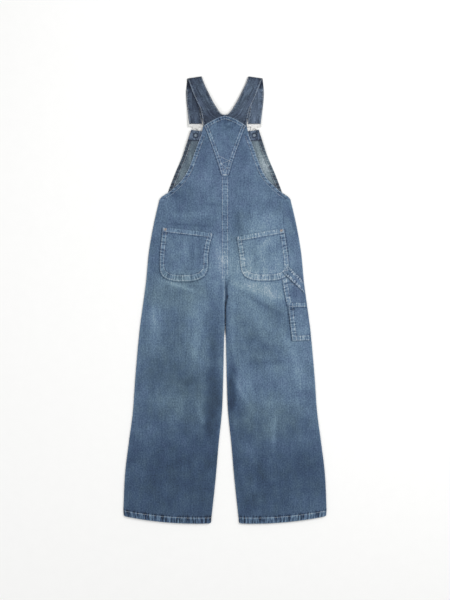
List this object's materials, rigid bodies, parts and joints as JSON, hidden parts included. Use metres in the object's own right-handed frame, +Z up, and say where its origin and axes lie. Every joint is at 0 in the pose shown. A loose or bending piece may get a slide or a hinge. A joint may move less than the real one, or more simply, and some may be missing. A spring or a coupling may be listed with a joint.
{
  "type": "denim dungarees",
  "caption": "Wide-leg denim dungarees laid flat, back up: back bib with a pointed yoke, buckled straps, back pockets, rule pocket and hammer loop.",
  "frame": {"origin": "centre of the garment's outline on the surface that it lies on", "axes": "+X to the right seen from above, +Y from the hems to the shoulders, +Z up from the surface; the back of the garment faces up"},
  "size_m": [0.6352, 1.3983, 0.012],
  "materials": {
    "denim": "washed twill, matt, faded on the seat and thighs",
    "denim_dark": "washed twill, matt, less faded",
    "denim_inside": "pale reverse side of the twill, matt",
    "nickel": "bright nickel plate",
    "copper": "copper-plated, satin"
  },
  "bodies": {
    "root": {"back_left": "denim", "back_right": "denim", "yoke": "denim", "front_left": "denim", "front_right": "denim", "front_bib": "denim_inside", "bib_facing": "denim_dark", "strap_left": "denim_dark", "strap_right": "denim_dark", "pocket_left": "denim", "pocket_right": "denim", "rule_pocket_back": "denim", "rule_pocket_front": "denim", "hammer_loop": "denim", "buckle_left": "nickel", "buckle_right": "nickel", "button_left": "nickel", "button_right": "nickel", "tack_left": "nickel", "tack_right": "nickel", "rivet_left": "copper", "rivet_right": "copper"}
  },
  "joints": []
}
